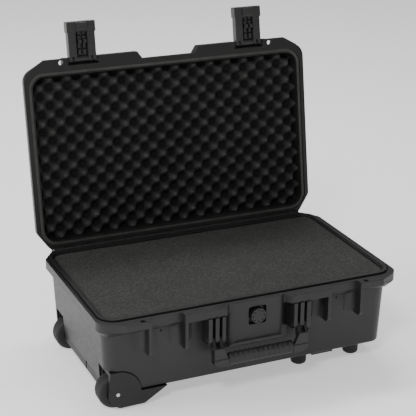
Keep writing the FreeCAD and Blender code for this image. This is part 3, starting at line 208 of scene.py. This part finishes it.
def metal(name, dark, light, roughness, brushed, edge=0.3 * MM):
    """Worked metal with fine lines from drawing, grinding or turning."""
    nodes = Nodes(name, Metallic=1.0)
    lines = nodes.noise(700, 3, 0.6, nodes.place(brushed))
    stains = nodes.noise(30, 4, 0.6)
    nodes.colour_between(nodes.ramp(stains, 0.3, 0.7, 0, 1), dark, light)
    nodes.link(nodes.ramp(lines, 0.3, 0.7, roughness - 0.07, roughness + 0.1), "Roughness")
    return nodes.bump((lines, 0.015 * MM), edge=edge)


MATERIALS = {
    "case_plastic": moulded_plastic("case_plastic", (0.0130, 0.0130, 0.0127), (0.0185, 0.0185, 0.0180),
                                    0.40),
    "housing_plastic": moulded_plastic("housing_plastic", (0.0065, 0.0065, 0.0063), (0.0100, 0.0100, 0.0098),
                                       0.46),
    "latch_plastic": moulded_plastic("latch_plastic", (0.030, 0.030, 0.0294), (0.042, 0.042, 0.0413),
                                     0.28, 0.7 * MM),
    "handle_plastic": moulded_plastic("handle_plastic", (0.0150, 0.0150, 0.0147), (0.0210, 0.0210, 0.0206),
                                      0.42, 0.9 * MM),
    "valve_plastic": moulded_plastic("valve_plastic", (0.0110, 0.0110, 0.0108), (0.0160, 0.0160, 0.0157),
                                     0.38, 0.5 * MM),
    "wheel_plastic": moulded_plastic("wheel_plastic", (0.022, 0.022, 0.0216), (0.030, 0.030, 0.0295),
                                     0.45, 0.6 * MM),
    "grip_rubber": rubber("grip_rubber", (0.022, 0.022, 0.0216), (0.034, 0.034, 0.0335), 0.5),
    "gasket_rubber": rubber("gasket_rubber", (0.055, 0.054, 0.050), (0.085, 0.083, 0.078), 0.42),
    "tyre_rubber": rubber("tyre_rubber", (0.018, 0.018, 0.0177), (0.032, 0.032, 0.0315), 0.6),
    "foot_rubber": rubber("foot_rubber", (0.016, 0.016, 0.0157), (0.028, 0.028, 0.0275), 0.58),
    "base_foam": foam("base_foam", (0.004, 0.004, 0.004), (0.078, 0.078, 0.0755), 620, (0.92, 1.05)),
    # The lid foam carries painted shade that deepens into its pits.
    "lid_foam": foam("lid_foam", (0.002, 0.002, 0.002), (0.105, 0.105, 0.103), painted_shade_depths=(7 * MM, 19 * MM)),
    "pin_steel": metal("pin_steel", (0.50, 0.50, 0.51), (0.62, 0.62, 0.63), 0.28, (1, 30, 30)),
    "spring_steel": metal("spring_steel", (0.05, 0.05, 0.05), (0.10, 0.10, 0.10), 0.5, (1, 20, 20)),
    "screw_steel": metal("screw_steel", (0.36, 0.36, 0.37), (0.50, 0.50, 0.51), 0.36, (8, 8, 1)),
    "tube_aluminium": metal("tube_aluminium", (0.50, 0.51, 0.52), (0.60, 0.61, 0.62), 0.38, (1, 40, 40)),
    "bush_plastic": moulded_plastic("bush_plastic", (0.55, 0.54, 0.50), (0.66, 0.65, 0.61), 0.35,
                                    0.4 * MM),
    "valve_film": moulded_plastic("valve_film", (0.66, 0.66, 0.66), (0.78, 0.78, 0.78), 0.3, 0.2 * MM),
}

# The wheel housings share the case's slot but are moulded in a darker plastic.
for part in frame["record"]["subparts"]:
    node, slot = part["node"], part["material_slot"]
    mesh = frame["nodes"][node].data
    mesh.materials.clear()
    mesh.materials.append(MATERIALS["housing_plastic" if "wheel_housing" in node else slot])


# ---------------------------------------------------------------- mesh helpers

def new_piece(name, vertices, faces, body, slot, replaced):
    """A smooth piece of the object, in the CAD frame, that rides on a body and stands for CAD nodes."""
    mesh = bpy.data.meshes.new(name)
    mesh.from_pydata([tuple(v) for v in vertices], [], [tuple(f) for f in faces])
    mesh.validate()
    mesh.update()
    piece = bpy.data.objects.new(name, mesh)
    bpy.context.scene.collection.objects.link(piece)
    mesh.materials.append(MATERIALS[slot])
    for face in mesh.polygons:
        face.use_smooth = True
    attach(piece, body)
    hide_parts(*replaced)
    return piece


def sharpen(piece, degrees):
    """Keeps a smooth piece's hard edges hard."""
    piece.data.set_sharp_from_angle(angle=math.radians(degrees))


def lathe(profile, middle, axis, steps):
    """Turns a closed profile of (distance along, radius) pairs about an axis through middle."""
    along = Vector(axis).normalized()
    side = along.orthogonal().normalized()
    up = along.cross(side)
    count = len(profile)
    vertices, faces = [], []
    for step in range(steps):
        turn = math.tau * step / steps
        out = side * math.cos(turn) + up * math.sin(turn)
        vertices += [Vector(middle) + along * reach + out * radius for reach, radius in profile]
    for step in range(steps):
        here, there = step * count, (step + 1) % steps * count
        for spot in range(count):
            following = (spot + 1) % count
            faces.append((here + spot, here + following, there + following, there + spot))
    return vertices, faces


def sweep(rings):
    """Skins rings of points, all with the same count, and caps both ends."""
    count = len(rings[0])
    vertices = [Vector(point) for ring in rings for point in ring]
    faces = []
    for row in range(len(rings) - 1):
        for spot in range(count):
            following = (spot + 1) % count
            faces.append((row * count + spot, row * count + following,
                          (row + 1) * count + following, (row + 1) * count + spot))
    last = (len(rings) - 1) * count
    faces.append(tuple(reversed(range(count))))
    faces.append(tuple(range(last, last + count)))
    return vertices, faces


def rounded_ring(half_x, half_y, radius, steps):
    """Points round a rectangle with round corners, anticlockwise from the first corner's start."""
    points = []
    for corner, (sign_x, sign_y) in enumerate(((1, 1), (-1, 1), (-1, -1), (1, -1))):
        for step in range(steps + 1):
            turn = math.pi / 2 * (corner + step / steps)
            points.append((sign_x * (half_x - radius) + radius * math.cos(turn),
                           sign_y * (half_y - radius) + radius * math.sin(turn)))
    return points


def disc_of_square(u, v):
    """A point of the unit square, moved to the quarter disc."""
    return u * math.sqrt(1 - v * v / 2), v * math.sqrt(1 - u * u / 2)


def rounded_spot(x, y, half_x, half_y, radius):
    """A point of a rectangle, moved to the same rectangle with round corners."""
    over_x, over_y = abs(x) - (half_x - radius), abs(y) - (half_y - radius)
    if over_x <= 0 or over_y <= 0:
        return x, y
    u, v = disc_of_square(over_x / radius, over_y / radius)
    return (math.copysign(half_x - radius + radius * u, x), math.copysign(half_y - radius + radius * v, y))


SIDE_LEVELS = 4


def foam_block(top, far, columns, rows, height):
    """A closed block of foam, as vertices and faces.

    top is (half x, half y, corner radius, z) of the face that shows, and far is (half x, half y, z) of the
    face against the shell. height(x, y, distance to the edge) is added to the face that shows.
    """
    half_x, half_y, radius, top_z = top
    vertices, faces = [], []
    for row in range(rows + 1):
        for column in range(columns + 1):
            x = half_x * (2 * column / columns - 1)
            y = half_y * (2 * row / rows - 1)
            spot_x, spot_y = rounded_spot(x, y, half_x, half_y, radius)
            edge = min(half_x - abs(x), half_y - abs(y))
            vertices.append((spot_x, spot_y, top_z + height(spot_x, spot_y, edge)))
    wide = columns + 1
    for row in range(rows):
        for column in range(columns):
            corner = row * wide + column
            faces.append((corner, corner + 1, corner + 1 + wide, corner + wide))
    rim = list(range(columns)) + [row * wide + columns for row in range(rows)]
    rim += [rows * wide + column for column in range(columns, 0, -1)]
    rim += [row * wide for row in range(rows, 0, -1)]
    far_x, far_y, far_z = far
    start = len(vertices)
    for level in range(1, SIDE_LEVELS + 1):
        share = level / SIDE_LEVELS
        for corner in rim:
            x, y, z = vertices[corner]
            grown_x = x * (1 + (far_x / half_x - 1) * share)
            grown_y = y * (1 + (far_y / half_y - 1) * share)
            vertices.append((grown_x, grown_y, z + (far_z - z) * share))
    count = len(rim)
    rings = [rim] + [[start + level * count + spot for spot in range(count)] for level in range(SIDE_LEVELS)]
    for above, below in zip(rings, rings[1:]):
        for spot in range(count):
            following = (spot + 1) % count
            faces.append((above[spot], below[spot], below[following], above[following]))
    faces.append(tuple(reversed(rings[-1])))
    return vertices, faces


# ---------------------------------------------------------------- foam

# The two faces' half sizes and heights are about the cavity's middle at rim height, with the lid closed.
PEAK_PITCH, ROW_PITCH, FOAM_DEPTH = 34.8 * MM, 32.0 * MM, 15 * MM
PEAK_SHARPNESS, PEAK_SINK = 1.4, 0.9 * MM
LID_UNEVEN, LID_UNEVEN_PER_METRE = 0.9 * MM, 24
LID_EDGE_DROP = 2.5 * MM
LID_FOAM_FACE = (259.4 * MM, 147.6 * MM, 20 * MM, 6 * MM)
LID_FOAM_BACK = (254.3 * MM, 142.4 * MM, 50.2 * MM)
LID_GRID = (230, 130)


def egg_crate(x, y, edge):
    """Depth of the convoluted sheet below its peaks."""
    wave = math.cos(math.tau * x / PEAK_PITCH) * math.cos(math.tau * y / ROW_PITCH)
    level = 0.5 + 0.5 * wave
    shaped = level ** PEAK_SHARPNESS
    uneven = noise.noise(Vector((x, y, 0)) * LID_UNEVEN_PER_METRE) * LID_UNEVEN
    round_edge = LID_EDGE_DROP * math.exp(-edge / LID_EDGE_DROP)
    return (1 - shaped) * FOAM_DEPTH - uneven * level + round_edge + PEAK_SINK


lid_sheet, lid_faces = foam_block(LID_FOAM_FACE, LID_FOAM_BACK, *LID_GRID, egg_crate)
lid_foam = new_piece("lid_foam_sheet", [opened(v) for v in lid_sheet],
                     [tuple(reversed(face)) for face in lid_faces], "lid", "lid_foam", ["lid_foam"])
sharpen(lid_foam, degrees=60)


BASE_SINK, BASE_EDGE_DROP, BASE_EDGE_ROUND = 0.8 * MM, 1.8 * MM, 2.2 * MM
BASE_SWELL, BASE_SWELL_PER_METRE = 0.5 * MM, 9
BASE_RIPPLE, BASE_RIPPLE_PER_METRE = 0.22 * MM, 45
BASE_CORNER, BASE_TAPER = 21 * MM, 2.6 * MM
BASE_GRID = (180, 104)


def base_face(x, y, edge):
    """The base foam's top: flat, a little uneven, and rounded down at its edge."""
    swell = noise.noise(Vector((x, y, 0.3)) * BASE_SWELL_PER_METRE) * BASE_SWELL
    ripple = noise.noise(Vector((x, y, 1.7)) * BASE_RIPPLE_PER_METRE) * BASE_RIPPLE
    return swell + ripple - BASE_SINK - BASE_EDGE_DROP * math.exp(-edge / BASE_EDGE_ROUND)


upper_low, upper_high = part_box("foam_pluck_upper")
half_x, half_y = (upper_high.x - upper_low.x) / 2, (upper_high.y - upper_low.y) / 2
sheet, faces = foam_block((half_x, half_y, BASE_CORNER, upper_high.z),
                          (half_x - BASE_TAPER, half_y - BASE_TAPER, upper_low.z), *BASE_GRID, base_face)
base_foam = new_piece("base_foam_block", [Vector(v) + Vector((0, MIDDLE_Y, 0)) for v in sheet], faces,
                      "base", "base_foam", ["foam_pluck_upper"])
sharpen(base_foam, degrees=60)


# ---------------------------------------------------------------- carry handle's grip

grip_low, grip_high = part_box("handle_grip")
RIBS, RIB_STEPS, RIB_DEPTH = 13, 8, 1.7 * MM
RIB_FULLNESS = 0.6
GRIP_CORNER, GRIP_CORNER_STEPS = 7.8 * MM, 6
middle_y, middle_z = (grip_low.y + grip_high.y) / 2, (grip_low.z + grip_high.z) / 2
deep, tall = (grip_high.y - grip_low.y) / 2, (grip_high.z - grip_low.z) / 2
rings = []
for step in range(RIBS * RIB_STEPS + 1):
    share = step / (RIBS * RIB_STEPS)
    x = grip_low.x + (grip_high.x - grip_low.x) * share
    swell = abs(math.sin(math.pi * share * RIBS)) ** RIB_FULLNESS
    inset = RIB_DEPTH * (1 - swell)
    rings.append([(x, middle_y + a, middle_z + b)
                  for a, b in rounded_ring(deep - inset, tall - inset, GRIP_CORNER - inset,
                                           GRIP_CORNER_STEPS)])
new_piece("handle_grip_sleeve", *sweep(rings), "carry_handle", "grip_rubber", ["handle_grip"])


# ---------------------------------------------------------------- wheels

CROWN_STEPS, SHOULDER, TYRE_STEPS = 7, 5.2 * MM, 96
# One groove beside the tread's middle, as (distance along the axle, depth); the other is its mirror image.
GROOVE = ((-3.4 * MM, 0), (-3.0 * MM, 0.7 * MM), (-2.4 * MM, 0.7 * MM), (-2.0 * MM, 0))
for end in ("front", "back"):
    low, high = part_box(f"wheel_tyre_{end}")
    centre, half, radius = (low + high) / 2, (high.y - low.y) / 2, (high.z - low.z) / 2
    hub_low, hub_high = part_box(f"wheel_hub_{end}")
    crown = [(-half, (hub_high.z - hub_low.z) / 2)]
    for turn in range(CROWN_STEPS + 1):
        lean = math.pi / 2 * turn / CROWN_STEPS
        crown.append((-half + SHOULDER * (1 - math.cos(lean)), radius - SHOULDER * (1 - math.sin(lean))))
    crown += [(along, radius - depth) for along, depth in GROOVE]
    profile = crown + [(-along, out) for along, out in reversed(crown)]
    piece = new_piece(f"tyre_{end}", *lathe(profile, centre, (0, 1, 0), TYRE_STEPS), f"wheel_{end}",
                      "tyre_rubber", [f"wheel_tyre_{end}"])
    sharpen(piece, degrees=40)


# ---------------------------------------------------------------- floor, light and camera

TARGET = (0, 0, 0.22)


def soft_light(name, place, size, power):
    """A rectangular lamp aimed at the middle of the case."""
    data = bpy.data.lights.new(name, "AREA")
    data.shape = "RECTANGLE"
    data.size, data.size_y = size
    data.energy = power
    lamp = bpy.data.objects.new(name, data)
    lamp.location = place
    lamp.rotation_euler = (Vector(TARGET) - Vector(place)).to_track_quat("-Z", "Y").to_euler()
    bpy.context.scene.collection.objects.link(lamp)


FLOOR = 6
floor_mesh = bpy.data.meshes.new("studio_floor")
floor_mesh.from_pydata([(-FLOOR, -FLOOR, 0), (FLOOR, -FLOOR, 0), (FLOOR, FLOOR, 0), (-FLOOR, FLOOR, 0)], [],
                       [(0, 1, 2, 3)])
floor = bpy.data.objects.new("studio_floor", floor_mesh)
bpy.context.scene.collection.objects.link(floor)
pale = Nodes("studio_floor", Base_Color=(0.9, 0.9, 0.9, 1), Roughness=0.9, Specular_IOR_Level=0.1,
             Emission_Color=(1, 1, 1, 1), Emission_Strength=0.55)
floor_mesh.materials.append(pale.material)

world = bpy.data.worlds.new("studio")
bpy.context.scene.world = world
world.use_nodes = True
background = world.node_tree.nodes["Background"]
background.inputs["Color"].default_value = (1.0, 1.0, 1.0, 1)
background.inputs["Strength"].default_value = 0.25

soft_light("key", (-2.8, 0.5, 1.5), (1.0, 1.4), 48)
soft_light("fill", (-1.3, -1.7, 2.3), (0.6, 0.6), 31)
soft_light("top", (0.3, 1.3, 2.6), (1.6, 0.5), 44)

# The camera's place is given from the cavity's middle at rim height.
AZIMUTH, ELEVATION, ROLL = math.radians(-23.895), math.radians(20.854), math.radians(0.400)
EYE = Vector((-855.88 * MM, -1892.70 * MM + MIDDLE_Y, 894.37 * MM + RIM_TOP))
LENS, SENSOR = 110.4, 36
back = Vector((math.sin(AZIMUTH) * math.cos(ELEVATION), -math.cos(AZIMUTH) * math.cos(ELEVATION),
               math.sin(ELEVATION)))
level = Vector((0, 0, 1)).cross(back).normalized()
above = back.cross(level)
right = level * math.cos(ROLL) + above * math.sin(ROLL)
up = above * math.cos(ROLL) - level * math.sin(ROLL)
camera_data = bpy.data.cameras.new("camera")
camera_data.sensor_width = SENSOR
camera_data.lens = LENS
camera = bpy.data.objects.new("camera", camera_data)
bpy.context.scene.collection.objects.link(camera)
camera.matrix_world = Matrix(((right.x, up.x, back.x, EYE.x), (right.y, up.y, back.y, EYE.y),
                              (right.z, up.z, back.z, EYE.z), (0, 0, 0, 1)))
bpy.context.scene.camera = camera
